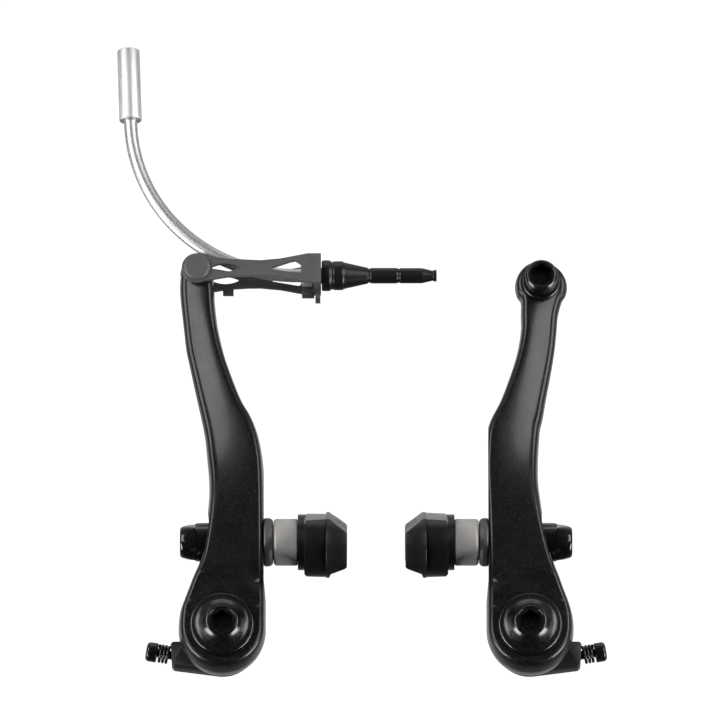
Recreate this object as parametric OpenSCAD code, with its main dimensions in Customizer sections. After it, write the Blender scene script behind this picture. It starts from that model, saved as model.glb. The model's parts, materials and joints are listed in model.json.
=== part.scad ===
// Linear-pull rim brake: two forged arms, a swinging link, a bent cable guide tube and two brake shoes.
// Origin: left pivot axis at the shoulder of the frame boss. X to the right arm, Y back to the frame, Z up.

/* [Brake] */
// Distance between the two frame bosses
pivot_spacing = 91; // [86:0.5:98]
// Height of the link pin above the pivots
link_height = 112; // [107:0.5:117]
// Sideways place of the link pin from the left pivot, outwards is negative
link_offset = -7.9; // [-9:0.1:-7]
// Gap left between two pieces that move past each other
gap = 0.4; // [0.3:0.05:0.6]
// Radial play of a running fit
play = 0.05; // [0.03:0.01:0.09]

/* [Arms] */
// Radius of the round end at the pivot
hub_radius = 12.9; // [12.5:0.1:14]
// Depth of the arm at the pivot
hub_depth = 12; // [11:0.5:13]
// Depth of the arm at the pad slot
slot_depth = 14; // [13.6:0.2:15]
// Depth of the arm at its top
top_depth = 9; // [8:0.5:9.5]
// How far the forged sides lean in from the parting line to the face
arm_draft = 1.7; // [1:0.1:2]
// Radius of the left arm's top round the link pin
left_top_radius = 5; // [4.6:0.1:5.2]
// Radius of the right arm's top round the cable bolt
right_top_radius = 7.8; // [7.4:0.1:8.4]
// Left arm: height, outer side and inner side from the pivot axis
left_sides = [
    [0, -12.9, 12.9], [3, -12.8, 12.9], [6, -12.4, 12.9], [9, -11.4, 12.9], [12.5, -10.1, 12.9],
    [16, -8.8, 12.8], [22, -6.5, 12.7], [31, -5, 12.6], [41, -4.1, 12.5], [47, -4.1, 12.3],
    [53, -4.6, 11.9], [60, -5.3, 10.7], [66, -6.4, 8.6], [72, -7.7, 5.4], [82, -9.8, 1.7],
    [88, -11, -0.1], [95, -11.8, -1.6], [104, -12.8, -2.6]
];
// Right arm, drawn as a left one: height, outer side and inner side
right_sides = [
    [0, -12.9, 12.9], [3, -12.8, 12.9], [6, -12.3, 12.9], [9, -11.4, 12.9], [12.5, -10.1, 12.9],
    [16, -8.9, 12.9], [22, -6.8, 12.9], [31, -4.7, 13], [41, -3.2, 13.3], [47, -2.6, 13.5],
    [53, -2.6, 13.4], [59, -2.9, 13.1], [63, -3.3, 12.4], [66, -4, 11.3], [72, -5, 8.4],
    [82, -6.8, 4.9], [88, -7.7, 3.3], [94, -8.3, 2.4], [98.5, -8.7, 2.4]
];

/* [Pivot] */
// Length of the bushing that the arm turns on
bushing_length = 18.3; // [17.5:0.1:19.5]
// Outside diameter of the bushing
bushing_od = 10.5; // [10:0.1:11]
// Bore of the bushing for the frame's post
post_bore = 8.1; // [8.05:0.05:8.6]
// Diameter of the fixing bolt's thread
boss_thread = 6; // [5:1:6]
// How far the fixing bolt reaches past the bushing into the boss
boss_reach = 4; // [3:0.5:6]
// Diameter of the fixing bolt's flange
flange_od = 19; // [17:0.5:20]
// Width across the flats of the hexagon sockets
socket_af = 6; // [5:0.5:6]
// Depth of the hexagon sockets
socket_depth = 3.5; // [3:0.1:3.8]

/* [Springs] */
// Outside radius of the spring holder
holder_radius = 10.4; // [10.2:0.1:11]
// Depth of the spring holder
holder_depth = 5.5; // [5.2:0.1:5.6]
// Wire of the return spring
spring_wire = 1.5; // [1.3:0.1:1.5]
// Radius of the return spring's coil
coil_radius = 7.6; // [7.3:0.1:7.8]
// Turns of the return spring
coil_turns = 2; // [1:1:2]
// Height where the spring's leg ends on the arm
leg_height = 54; // [45:1:57]
// Diameter of the holder's pin in the frame boss
frame_pin_d = 2.5; // [2:0.1:2.8]
// Length of that pin
frame_pin_length = 4; // [3:0.5:5]
// Distance of that pin from the boss axis
frame_pin_radius = 8; // [7.6:0.1:8.6]

/* [Tension screws] */
// Diameter of the screw's shank
screw_d = 3; // [2.5:0.5:3]
// Diameter of its head
screw_head_d = 5.8; // [5:0.1:5.8]
// Length of its head
screw_head_length = 3.2; // [2.5:0.1:4]
// Room for the small coil under the head
screw_coil_length = 4; // [3.5:0.1:5]
// Angle at which the screw rises outwards
screw_rise = 10; // [6:1:12]

/* [Brake shoes] */
// Height of the shoe's stud above the pivot
stud_height = 27.7; // [26:0.1:29]
// Travel of the stud in the slot, each way
slot_travel = 3; // [2:0.5:3]
// Diameter of the threaded stud
stud_d = 6; // [5:1:6]
// Where the arm's inner face lies from the pivot
face_x = 12.2; // [12:0.1:12.4]
// Thickness of the arm's wall at the slot
slot_wall = 7.6; // [6.5:0.1:8]
// Diameter of the domed washer by the arm
dome_od = 14.4; // [13.5:0.1:15]
// Thickness of the domed washer at its edge
dome_thick = 2.9; // [2.4:0.1:3.2]
// Diameter of the spacer by the shoe
spacer_od = 13.9; // [13:0.1:14.4]
// Length of the spacer
spacer_length = 7.2; // [6:0.1:9]
// Radius of the ball faces between the washers
ball_radius = 12; // [11:0.5:14]
// Diameter of the nut and of the washers in the pocket
nut_od = 11.6; // [11:0.1:11.7]
// Diameter of the nut's narrow end
nut_tip_d = 9; // [8.4:0.1:9.6]
// Length of the nut
nut_length = 12.1; // [11:0.1:13]
// Distance over two of the six wrench flats milled into the nut's tip
nut_flats = 9; // [8.6:0.1:9.6]
// Length of the shoe
shoe_length = 62; // [50:1:70]
// Radius of the rim that the pad follows
rim_radius = 300; // [260:5:330]
// Tilt of the shoe about its stud, nose down
shoe_tilt = 20.5; // [0:0.5:24]
// Thickness of the shoe from its flange to its face
shoe_thick = 14.6; // [13:0.1:16]
// Depth of the moulded carrier under the pad
carrier_depth = 8.4; // [7:0.1:9]

/* [Link] */
// Distance over the two cheeks of the link
link_width = 12.6; // [12.4:0.1:13]
// Thickness of the link's sheet
link_sheet = 1.5; // [1.2:0.1:1.6]
// Distance from the pin to the link's end wall
link_reach = 34.9; // [33:0.5:37]
// Height of the tube's axis below the link pin
tube_drop = 0.4; // [0:0.1:0.8]
// Diameter of the link pin
link_pin_d = 5; // [4:0.5:5]
// Diameter of the link pin's heads
link_pin_head = 7.9; // [7.4:0.1:8.2]

/* [Cable guide] */
// Outside diameter of the bent tube
tube_od = 4; // [3.8:0.1:4.2]
// Bore of the bent tube
tube_bore = 2.4; // [2:0.1:2.6]
// Radius of its bend
bend_radius = 50; // [46:0.5:52]
// Angle of its bend
bend_angle = 88; // [80:1:92]
// Outside diameter of the housing socket on its end
ferrule_od = 6.8; // [6.6:0.1:7.4]
// Length of the housing socket
ferrule_length = 22.4; // [19:0.1:24]
// Bore for the cable housing
housing_bore = 5.1; // [5:0.1:5.4]
// Depth of the bore for the cable housing
housing_depth = 12; // [8:0.5:14]

/* [Boot] */
// Length of the rubber boot
boot_length = 34.3; // [32:0.1:36]
// Bore of the boot for the cable
boot_bore = 2.2; // [2:0.1:2.4]

/* [Cable bolt] */
// Place of the cable bolt outwards from the right pivot
anchor_offset = 3.7; // [3:0.1:4.5]
// Diameter of the cable bolt's head
anchor_head_d = 9.7; // [9.4:0.1:10]
// Length of the cable bolt's head
anchor_head_length = 6; // [5.4:0.1:6.5]
// Diameter of the cable washer
anchor_washer_d = 11.3; // [10.8:0.1:12]
// Thickness of the cable washer
anchor_washer_thick = 1.6; // [1.4:0.1:2]
// Diameter of the brake cable
cable_d = 1.6; // [1.5:0.1:1.8]

/* [Hidden] */
$fn = 64;
e = 0.01;

// The arm's mid-plane, its faces, and the pieces along the pivot axis.
arm_y = -6 - hub_depth / 2;
stretch = link_height / 112;
link_x = link_offset;
bushing_r = bushing_od / 2;
holder_front = -holder_depth;
anchor_z = link_height - tube_drop - boss_thread / 2 - cable_d / 2;
wall_floor = face_x - slot_wall;
ball_rise = ball_radius - sqrt(pow(ball_radius, 2) - pow(5, 2));
pocket_r = nut_od / 2 + gap;
slot_r = stud_d / 2 + gap;
cup_thick = 3.5;
outer_dome_thick = 1.6;
nut_x = wall_floor - outer_dome_thick - cup_thick;
spacer_x = face_x + dome_thick;
shoe_x = spacer_x + spacer_length;
tube_z = link_height - tube_drop;
wall_x = link_x + link_reach;
tube_straight = 8.5;
bend_x = wall_x - 5;
bend_z = tube_z + bend_radius;
peg_r = 1.5;
flat_top = 66;
leg_y = arm_y + slot_depth / 2 + spring_wire / 2 + play;

// A smooth curve through a list of points, each span cut in n steps.
function spline(a, b, c, d, t) =
    0.5 * (2 * b + (c - a) * t + (2 * a - 5 * b + 4 * c - d) * t * t + (3 * b - a - 3 * c + d)
        * t * t * t);
function smooth(p, n) = concat(
    [for (i = [0 : len(p) - 2], j = [0 : n - 1])
        spline(p[max(i - 1, 0)], p[i], p[i + 1], p[min(i + 2, len(p) - 1)], j / n)],
    [p[len(p) - 1]]);

// Rounds of an arm's outline as pairs: height, outer side, inner side.
function round_bottom(r) = [for (a = [6, 20, 36, 52, 68, 80]) [-r * cos(a), -r * sin(a), r * sin(a)]];
function round_top(x, z, r, from) =
    [for (a = [from : (84 - from) / 6 : 84.1]) [z + r * sin(a), x - r * cos(a), x + r * cos(a)]];

// Half depth of an arm at a place in its outline: thin at the pivot, thick at the slot, thin at the top.
function half_depth(p) = lookup(p[1] / stretch, [
    [-13, hub_depth / 2], [12, hub_depth / 2], [14, hub_depth / 2 + 0.15], [18, slot_depth / 2 - 0.15],
    [20, slot_depth / 2], [40, slot_depth / 2], [70, slot_depth * 0.4], [95, top_depth / 2]]);

// A forged arm: its outline at the parting line, drawn in with draft and a round edge towards both faces.
module forging(pairs) {
    draft = [[1, 1], [0.68, 0.94], [0.42, 0.8], [0.15, 0.42]];
    levels = concat([for (d = draft) [d[0], -d[1]]], [[0, 0]],
        [for (i = [3 : -1 : 0]) [draft[i][0], draft[i][1]]]);
    s = len(pairs);
    n = 2 * s;
    m = len(levels);
    loop = concat([for (p = pairs) [p[2], p[0]]],
        [for (i = [s - 1 : -1 : 0]) [pairs[i][1], pairs[i][0]]]);
    along = [for (i = [0 : n - 1]) loop[(i + 1) % n] - loop[(i + n - 1) % n]];
    inwards = [for (t = along) [-t[1], t[0]] / norm(t)];
    deep = [for (p = loop) half_depth(p)];
    points = [for (l = levels, i = [0 : n - 1])
        let (p = loop[i] + inwards[i] * l[0] * arm_draft) [p[0], arm_y + l[1] * deep[i], p[1]]];
    sides = [for (k = [0 : m - 2], i = [0 : n - 1], h = [0, 1])
        let (a = k * n + i, b = k * n + (i + 1) % n)
        h == 0 ? [a, b, b + n] : [a, b + n, a + n]];
    front = [for (i = [0 : s - 2], h = [0, 1])
        h == 0 ? [n - 1 - i, n - 2 - i, i + 1] : [n - 1 - i, i + 1, i]];
    top = (m - 1) * n;
    back = [for (f = front) [f[2] + top, f[1] + top, f[0] + top]];
    polyhedron(points, concat(sides, front, back), convexity = 8);
}

// A round wire along a path; each path entry is its centre and the two directions of its section.
module wire(path, r) {
    k = 8;
    n = len(path);
    points = [for (p = path, j = [0 : k - 1])
        p[0] + r * cos(360 * j / k) * p[1] + r * sin(360 * j / k) * p[2]];
    sides = [for (i = [0 : n - 2], j = [0 : k - 1], h = [0, 1])
        let (a = i * k + j, b = i * k + (j + 1) % k)
        h == 0 ? [a, a + k, b + k] : [a, b + k, b]];
    ends = [[for (j = [0 : k - 1]) j], [for (j = [k - 1 : -1 : 0]) (n - 1) * k + j]];
    polyhedron(points, concat(sides, ends), convexity = 6);
}

module on_right() { translate([pivot_spacing, 0, 0]) mirror([1, 0, 0]) children(); }

// A cylinder along Y from y0 to y1, and along X from x0 to x1.
module rod_y(r, y0, y1, x = 0, z = 0) {
    translate([x, y1, z]) rotate([90, 0, 0]) cylinder(r = r, h = y1 - y0);
}
module rod_x(r, x0, x1) {
    translate([x0, arm_y, stud_height]) rotate([0, 90, 0]) cylinder(r = r, h = x1 - x0);
}

// A profile of radius and place, turned about the stud's axis or about a Y axis.
module turned_x(profile) {
    translate([0, arm_y, stud_height]) rotate([0, 90, 0]) rotate_extrude() polygon(profile);
}
module turned_y(profile, x = 0, z = 0) {
    translate([x, 0, z]) rotate([-90, 0, 0]) rotate_extrude() polygon(profile);
}

module hexagon(af, h) { cylinder(r = af / sqrt(3), h = h, $fn = 6); }

module stadium(r, half, x0, x1) {
    for (s = [-1, 1]) translate([0, 0, s * half]) rod_x(r, x0, x1);
    translate([x0, arm_y - r, stud_height - half]) cube([x1 - x0, 2 * r, 2 * half]);
}

// What every arm has: the pivot bore, the flat for the pad, its slot, and the pocket behind it.
module arm_cuts() {
    rod_y(bushing_r + play, -30, 5);
    stadium(slot_r, slot_travel, -5, 20);
    stadium(pocket_r, slot_travel, -20, wall_floor);
    translate([0, 5, 0]) rotate([90, 0, 0]) linear_extrude(40)
        polygon([[face_x + 1, 6], [face_x, 15], [face_x, flat_top], [face_x + 4, flat_top],
            [face_x + 4, 6]]);
    rod_y(peg_r, arm_y + 2, 5, peg_x(), leg_height - 3);
}
function peg_x() = coil_radius - spring_wire / 2 - peg_r - 0.05;

module left_arm() {
    color([0.07, 0.07, 0.075]) difference() {
        forging(smooth(concat(round_bottom(hub_radius),
            [for (p = left_sides) [p[0] * stretch, p[1], p[2]]],
            round_top(link_x, link_height, left_top_radius, -12)), 2));
        arm_cuts();
        rod_y(link_pin_d / 2 + play, -30, 5, link_x, link_height);
    }
}

module right_arm() {
    color([0.07, 0.07, 0.075]) on_right() difference() {
        forging(smooth(concat(round_bottom(hub_radius),
            [for (p = right_sides) [p[0] * stretch, p[1], p[2]]],
            round_top(-anchor_offset, anchor_z, right_top_radius, -38)), 2));
        arm_cuts();
        rod_y(boss_thread / 2, -30, 5, -anchor_offset, anchor_z);
        translate([-25, arm_y - top_depth / 2, tube_z]) rotate([0, 90, 0]) cylinder(d = cable_d, h = 40);
    }
}

module pivot_bushing() {
    color([0.55, 0.55, 0.56])
        turned_y([[post_bore / 2, 0], [post_bore / 2, -bushing_length],
            [bushing_r - 0.3, -bushing_length],
            [bushing_r, -bushing_length + 0.3], [bushing_r, 0]]);
}

// The flanged bolt that holds an arm on its boss: thin flange, bell-shaped centre, hexagon socket.
module fixing_bolt() {
    face = -bushing_length;
    r = boss_thread / 2;
    neck = 2.7 / 3 * r;
    color([0.04, 0.04, 0.045]) difference() {
        turned_y([[0, boss_reach], [r - 0.5, boss_reach], [r, boss_reach - 0.5], [r, face + 10.3],
            [neck, face + 10],
            [neck, face], [flange_od / 2 - 0.3, face], [flange_od / 2, face - 0.3],
                [flange_od / 2, face - 1.1],
            [flange_od / 2 - 0.5, face - 1.6], [7.6, face - 2], [6.9, face - 2.5], [6.2, face - 3.3],
            [5.5, face - 3.9], [4.9, face - 4.1], [4.1, face - 4.1], [0, face - 4.1]]);
        translate([0, face - 4.1 + socket_depth, 0]) rotate([90, 30, 0]) hexagon(socket_af, 10);
    }
}

// The moulded holder behind an arm: a cup round the return spring, a lug for the tension screw, a frame pin.
module spring_holder() {
    wall = 0.95;
    plate = 1;
    color([0.05, 0.05, 0.05]) difference() {
        union() {
            rod_y(holder_radius, holder_front, 0);
            rotate([90, 0, 0]) linear_extrude(holder_depth)
                polygon([[-1.5, -holder_radius + 0.15], [-8, -9.6], [-14.2, -8.6], [-15, -7.8],
                    [-15.3, -1.7],
                    [-14.7, -1.1], [-11.5, -1], [-9.5, 1.5], [-3, -3]]);
            rod_y(frame_pin_d / 2, -1, frame_pin_length, 0, frame_pin_radius);
        }
        rod_y(bushing_r, -20, 5);
        difference() {
            rod_y(holder_radius - wall, -20, -plate);
            rod_y(bushing_r + 0.35, -21, 0);
        }
        translate([0, -plate, 0]) rotate([90, 0, 0]) linear_extrude(20)
            polygon([[0, 0], [30 * cos(20), 30 * sin(20)], [30, 30], [30 * cos(78), 30 * sin(78)]]);
        screw_frame() translate([0, 0, -1]) cylinder(d = screw_d, h = 9);
    }
}

// Place of the tension screw: its origin lies on the lug's outer face and Z runs into the lug.
module screw_frame() {
    translate([-15.4, -holder_depth / 2 - 0.1, -4.5]) rotate([0, 90 + screw_rise, 0]) children();
}

module tension_screw() {
    color([0.03, 0.03, 0.03]) screw_frame() difference() {
        union() {
            translate([0, 0, -screw_coil_length]) cylinder(d = screw_d - 2 * play,
                h = screw_coil_length + 5.5);
            translate([0, 0, -screw_coil_length - screw_head_length]) rotate_extrude()
                polygon([[0, 0], [screw_head_d / 2 - 0.6, 0], [screw_head_d / 2, 0.6],
                    [screw_head_d / 2, screw_head_length], [0, screw_head_length]]);
        }
        translate([-5, -0.4, -screw_coil_length - screw_head_length - e]) cube([10, 0.8, 1.2]);
    }
}

module tension_coil() {
    r = 0.4;
    turns = 3;
    mid = screw_head_d / 2 - r - 0.1;
    rise = (screw_coil_length - 2 * r - 0.1) / turns;
    path = [for (i = [0 : 14 * turns])
        let (a = i * 360 / 14)
        [[mid * cos(a), mid * sin(a), -screw_coil_length + r + 0.05 + rise * i / 14],
            [cos(a), sin(a), 0], [0, 0, -1]]];
    color([0.12, 0.12, 0.12]) screw_frame() wire(path, r);
}

// The return spring: a flat coil round the bushing and a long leg up the back of the arm.
module return_spring() {
    r = spring_wire / 2;
    hub_y = arm_y + hub_depth / 2 + r + play;
    steps = 18 * coil_turns;
    coil = [for (i = [0 : steps])
        let (a = (i - steps) * 20)
        [[coil_radius * cos(a), hub_y + (steps - i) * (spring_wire + 0.06) / 18, coil_radius * sin(a)],
            [cos(a), 0, sin(a)], [0, 1, 0]]];
    leg = [for (p = [[9, hub_y], [17, leg_y], [leg_height, leg_y]])
        [[coil_radius, p[1], p[0]], [1, 0, 0], [0, 1, 0]]];
    color([0.45, 0.45, 0.47]) wire(concat(coil, leg), r);
}

module spring_peg() {
    back = arm_y + slot_depth / 2;
    color([0.4, 0.4, 0.42])
        turned_y([[0, arm_y + 2], [peg_r, arm_y + 2], [peg_r, back + spring_wire - 0.1],
            [peg_r + 0.7, back + spring_wire + 0.3], [peg_r + 0.4, back + spring_wire + 0.8],
            [0, back + spring_wire + 0.8]], peg_x(), leg_height - 3);
}

// The washers, the spacer and the nut along the stud, from the shoe outwards.
module inner_dome() {
    hole = stud_d / 2 + gap;
    r = dome_od / 2;
    pole = spacer_x + ball_rise - ball_radius;
    color([0.27, 0.27, 0.26]) turned_x(concat([[hole, face_x + play], [r - 0.2, face_x + play],
        [r, face_x + 0.5],
        [r, spacer_x - 1.1], [r - 0.35, spacer_x - 0.45], [r - 1, spacer_x]],
        [for (k = [0 : 5]) let (h = 5 + (hole - 5) * k / 5)
            [h, pole + sqrt(pow(ball_radius, 2) - h * h)]]));
}

module spacer() {
    r = spacer_od / 2;
    color([0.56, 0.54, 0.51]) difference() {
        turned_x([[0, spacer_x + play], [r - 0.5, spacer_x + play], [r, spacer_x + 0.6],
            [r, shoe_x - 0.3], [r - 0.3, shoe_x - play], [0, shoe_x - play]]);
        translate([spacer_x + ball_rise - ball_radius, arm_y, stud_height])
            sphere(r = ball_radius + play);
        rod_x(stud_d / 2 + play, 0, 40);
    }
}

module outer_dome() {
    hole = stud_d / 2 + gap;
    face = wall_floor - outer_dome_thick;
    pole = face - ball_rise + ball_radius;
    color([0.27, 0.27, 0.26]) turned_x(concat([[hole, wall_floor - play],
        [nut_od / 2, wall_floor - play], [nut_od / 2, face]],
        [for (k = [0 : 5]) let (h = 5 + (hole - 5) * k / 5)
            [h, pole - sqrt(pow(ball_radius, 2) - h * h)]]));
}

module cup_washer() {
    color([0.3, 0.3, 0.29]) difference() {
        rod_x(nut_od / 2, nut_x, wall_floor - outer_dome_thick - play);
        translate([wall_floor - outer_dome_thick - ball_rise + ball_radius, arm_y, stud_height])
            sphere(r = ball_radius + play);
        rod_x(stud_d / 2 + play, -20, 30);
    }
}

module nut() {
    r = nut_od / 2;
    tip = nut_x - nut_length;
    color([0.03, 0.03, 0.035]) difference() {
        turned_x([[0, nut_x], [r - 0.2, nut_x], [r, nut_x - 0.3], [r, nut_x - 6.5],
            [r - 0.25, nut_x - 8.5],
            [nut_tip_d / 2 + 0.1, tip + 0.5], [nut_tip_d / 2 - 0.4, tip], [0, tip]]);
        rod_x(stud_d / 2 + play, tip + 4.5, 30);
        translate([tip - e, arm_y, stud_height]) rotate([0, 90, 0]) hexagon(5, socket_depth + e);
        difference() {
            turned_x([[0, tip - 1], [r + 1, tip - 1], [r + 1, tip + 5.2], [nut_flats / 2, tip + 4.2],
                [0, tip + 4.2]]);
            translate([tip - 2, arm_y, stud_height]) rotate([0, 90, 0]) hexagon(nut_flats, 12);
        }
    }
}

// The shoe's frame: origin on the stud axis at the shoe's flange, Y along the shoe, X to the rim.
module shoe_frame() {
    translate([shoe_x, arm_y, stud_height]) rotate([shoe_tilt, 0, 0]) children();
}

// A section swept along the rim: its points are the distance to the rim side and the height.
module along_rim(section, length) {
    angle = length / rim_radius * 180 / PI;
    translate([0, 0, -rim_radius]) rotate([0, 90, 0]) rotate([0, 0, 180 - angle / 2])
        rotate_extrude(angle = angle, $fn = 720)
        polygon([for (p = section) [rim_radius + p[1], p[0]]]);
}

module stud() {
    color([0.5, 0.5, 0.5]) {
        rod_x(stud_d / 2, nut_x - nut_length + 5, shoe_x + 1);
        rod_x(4, shoe_x + 1, shoe_x + 2.6);
    }
}

module shoe() {
    body = shoe_thick - 2;
    color([0.06, 0.06, 0.06]) difference() {
        union() {
            rod_x(8.3, shoe_x, shoe_x + 2.5);
            shoe_frame() intersection() {
                along_rim([[2, -7.4], [2.6, -8.4], [carrier_depth, -8.7], [carrier_depth, 8.7],
                    [2.6, 8.4], [2, 7.4]],
                    shoe_length - 2);
                shoe_ends(8.9, shoe_length - 2);
            }
        }
        rod_x(stud_d / 2 + play, shoe_x - 1, shoe_x + 1);
        rod_x(4 + play, shoe_x + 1, shoe_x + 2.6);
    }
}

// The rounded ends of a shoe or pad, seen from the wheel.
module shoe_ends(half, length) {
    sag = pow(length / 2 - half, 2) / rim_radius / 2;
    r = half + sag / 2;
    for (s = [-1, 1]) translate([0, s * (length / 2 - r), -sag / 2]) rotate([0, 90, 0])
        cylinder(r = r, h = 30);
    translate([0, r - length / 2, -sag / 2 - r]) cube([30, length - 2 * r, 2 * r]);
}

module pad() {
    base = carrier_depth;
    face = shoe_thick;
    color([0.09, 0.09, 0.09]) shoe_frame() difference() {
        intersection() {
            along_rim([[base, -8.9], [base + 1, -8.9], [base + 1.4, -7.4], [face - 0.6, -5.6],
                [face, -5], [face, 5],
                [face - 0.5, 5.5], [base + 1, 8.9], [base, 8.9]], shoe_length);
            shoe_ends(9, shoe_length);
        }
        for (s = [-1, 1], k = [1, 2]) translate([face - 3.2, s * k * 9 - 0.6, -15]) cube([10, 1.2, 30]);
    }
}

// The link: one folded sheet, two waisted cheeks with windows and an end wall with the keyhole for the tube's tip.
function cheek_half(x) = lookup(x, [[0, 4.5], [4, 3.7], [9, 2.8], [14, 2.35], [19, 2.3], [24, 2.7],
    [29, 3.6], [33, 4.5]]);
module cheek_outline() {
    steps = [for (x = [3 : 2 : link_reach - 0.5]) x];
    difference() {
        union() {
            circle(r = 4.5);
            polygon(concat([for (x = steps) [x, cheek_half(x)]], [[link_reach, 4.5], [link_reach, -4.5]],
                [for (i = [len(steps) - 1 : -1 : 0]) [steps[i], -cheek_half(steps[i])]],
                    [[0, -4], [0, 4]]));
        }
        translate([8.4, 0]) intersection() {
            translate([0, -7.2]) circle(r = 8.5);
            translate([0, 7.2]) circle(r = 8.5);
        }
        polygon([[22.4, 0.1], [22.6, -0.5], [30.4, -1.9], [31, -1.4], [31, 1.2], [29.4, 2.3], [28, 2]]);
    }
}

module link() {
    front = arm_y - link_width / 2;
    back = arm_y + link_width / 2;
    color([0.2, 0.2, 0.2]) difference() {
        union() {
            for (y = [front + link_sheet, back])
                translate([link_x, y, link_height]) rotate([90, 0, 0]) linear_extrude(link_sheet)
                    cheek_outline();
            translate([link_x + 7.7, back - link_sheet, link_height - 4.7]) cube([3.2, link_sheet, 2.6]);
            translate([wall_x, front, link_height - 4.5]) cube([2.1, link_width, 9]);
            translate([wall_x + 0.4, back - 4.6, link_height - 7]) cube([1.5, 4.6, 3]);
            translate([wall_x - 3.6, back - 3.4, link_height - 5.4]) cube([3.7, 3.4, 2.2]);
        }
        translate([link_x, 0, link_height]) rotate([90, 0, 0]) translate([0, 0, -5])
            cylinder(d = link_pin_d, h = 40);
        translate([wall_x - 1, arm_y, tube_z]) rotate([0, 90, 0]) cylinder(d = 4.8 + 2 * play, h = 6);
        translate([wall_x - 1, arm_y - 1.1, tube_z]) cube([6, 2.2, 10]);
    }
}

module link_pin() {
    r = link_pin_d / 2;
    head = link_pin_head / 2;
    front = arm_y - link_width / 2;
    back = arm_y + link_width / 2;
    color([0.25, 0.25, 0.25])
        turned_y([[0, front - 1.3], [head - 0.5, front - 1.3], [head, front - 0.9], [head, front],
            [r, front],
            [r, back + 0.3], [r - 0.5, back + 0.3], [r - 0.5, back + 1], [r, back + 1], [r, back + 1.4],
            [r - 0.3, back + 1.7], [0, back + 1.7]], link_x, link_height);
}

module link_clip() {
    back = arm_y + link_width / 2;
    color([0.1, 0.1, 0.1]) difference() {
        rod_y(link_pin_head / 2, back + 0.3, back + 1, link_x, link_height);
        rod_y(link_pin_d / 2 - 0.5, back, back + 3, link_x, link_height);
        translate([link_x - 0.8, back, link_height - 9]) cube([1.6, 5, 9]);
    }
}

// The bent tube: a bend between two straight ends, each with the cable's bore through it.
module guide_tube() {
    r = tube_od / 2;
    b = tube_bore / 2;
    color([0.75, 0.75, 0.76]) union() {
        translate([bend_x, arm_y, bend_z]) rotate([90, 0, 0]) rotate([0, 0, 270 - bend_angle])
            rotate_extrude(angle = bend_angle, $fn = 256) translate([bend_radius, 0]) difference() {
                circle(r = r, $fn = 48);
                circle(r = b, $fn = 48);
            }
        translate([bend_x, arm_y, tube_z]) rotate([0, 90, 0]) tube_end(tube_straight);
        socket_frame() tube_end(6);
    }
}
// A straight end starts a little inside the bend and is a hair thinner, so that both walls meet cleanly.
module tube_end(h) {
    slip = 0.02;
    start = 0.5;
    translate([0, 0, -start]) rotate_extrude($fn = 48)
        translate([tube_bore / 2 + slip, 0]) square([(tube_od - tube_bore) / 2 - 2 * slip, h + start]);
}
// Where the bend ends: Z runs up along the housing socket.
module socket_frame() {
    translate([bend_x, arm_y, bend_z]) rotate([0, bend_angle - 90, 0]) translate([-bend_radius, 0, 0])
        children();
}

module housing_socket() {
    r = ferrule_od / 2;
    bottom = 1;
    top = bottom + ferrule_length;
    color([0.62, 0.62, 0.62]) socket_frame() rotate_extrude() polygon([
        [tube_od / 2, bottom], [r - 0.2, bottom], [r, bottom + 0.2], [r, top - 0.2], [r - 0.2, top],
        [housing_bore / 2, top], [housing_bore / 2, top - housing_depth],
            [tube_bore / 2, top - housing_depth],
        [tube_bore / 2, bottom + 5], [tube_od / 2, bottom + 5]]);
}

// The turned tip on the tube: a shoulder inside the end wall and a nose through it that carries the boot.
module tube_tip() {
    color([0.6, 0.6, 0.6]) translate([wall_x, arm_y, tube_z]) rotate([0, 90, 0]) rotate_extrude()
        polygon([
        [tube_od / 2, -3.6], [3.1, -3.6], [3.3, -3.3], [3.3, -0.6], [2.9, -0.05], [2.4, -0.05],
            [2.4, 5.4], [1.9, 8],
        [tube_bore / 2, 8], [tube_bore / 2, 3.5], [tube_od / 2, 3.5]]);
}

module boot() {
    start = wall_x + 2.1 + gap / 2;
    b = boot_bore / 2;
    l = boot_length;
    color([0.05, 0.05, 0.05]) translate([start, arm_y, tube_z]) rotate([0, 90, 0]) rotate_extrude()
        polygon([
        [2.4 + play, 0], [4.3, 0], [4.65, 0.4], [4.65, 2.3], [4.3, 2.8], [4.15, 3], [4.15, 3.4],
            [4.35, 3.7],
        [4.35, 6.2], [4, 6.7], [2.4, 13.8], [2.1, 14], [2.1, 14.4], [2.35, 14.7], [2.35, 22.4],
            [2.1, 22.8],
        [2.1, 23.2], [2.3, 23.5], [2.3, 29.9], [1.5, l - 1.1], [1.75, l - 0.9], [1.75, l - 0.1], [1.6, l],
        [b, l], [b, 9], [2.4 + play, 6]]);
}

module cable_bolt() {
    y = arm_y - top_depth / 2 - anchor_washer_thick;
    h = anchor_head_length;
    r = anchor_head_d / 2;
    color([0.05, 0.05, 0.05]) difference() {
        turned_y([[0, y - h], [r - 0.6, y - h], [r, y - h + 0.6], [r, y], [boss_thread / 2, y],
            [boss_thread / 2, arm_y + top_depth / 2 + 0.5],
                [boss_thread / 2 - 0.6, arm_y + top_depth / 2 + 1],
            [0, arm_y + top_depth / 2 + 1]], pivot_spacing + anchor_offset, anchor_z);
        translate([pivot_spacing + anchor_offset, y - h + socket_depth, anchor_z]) rotate([90, 0, 0])
            hexagon(socket_af, 10);
    }
}

module cable_washer() {
    y = arm_y - top_depth / 2;
    r = anchor_washer_d / 2;
    color([0.1, 0.1, 0.1]) difference() {
        turned_y([[boss_thread / 2, y - anchor_washer_thick], [r - 0.3, y - anchor_washer_thick],
            [r, y - anchor_washer_thick + 0.3], [r, y], [boss_thread / 2, y]],
                pivot_spacing + anchor_offset, anchor_z);
        translate([pivot_spacing, y, tube_z]) rotate([0, 90, 0]) cylinder(d = cable_d, h = 20);
    }
}

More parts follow.
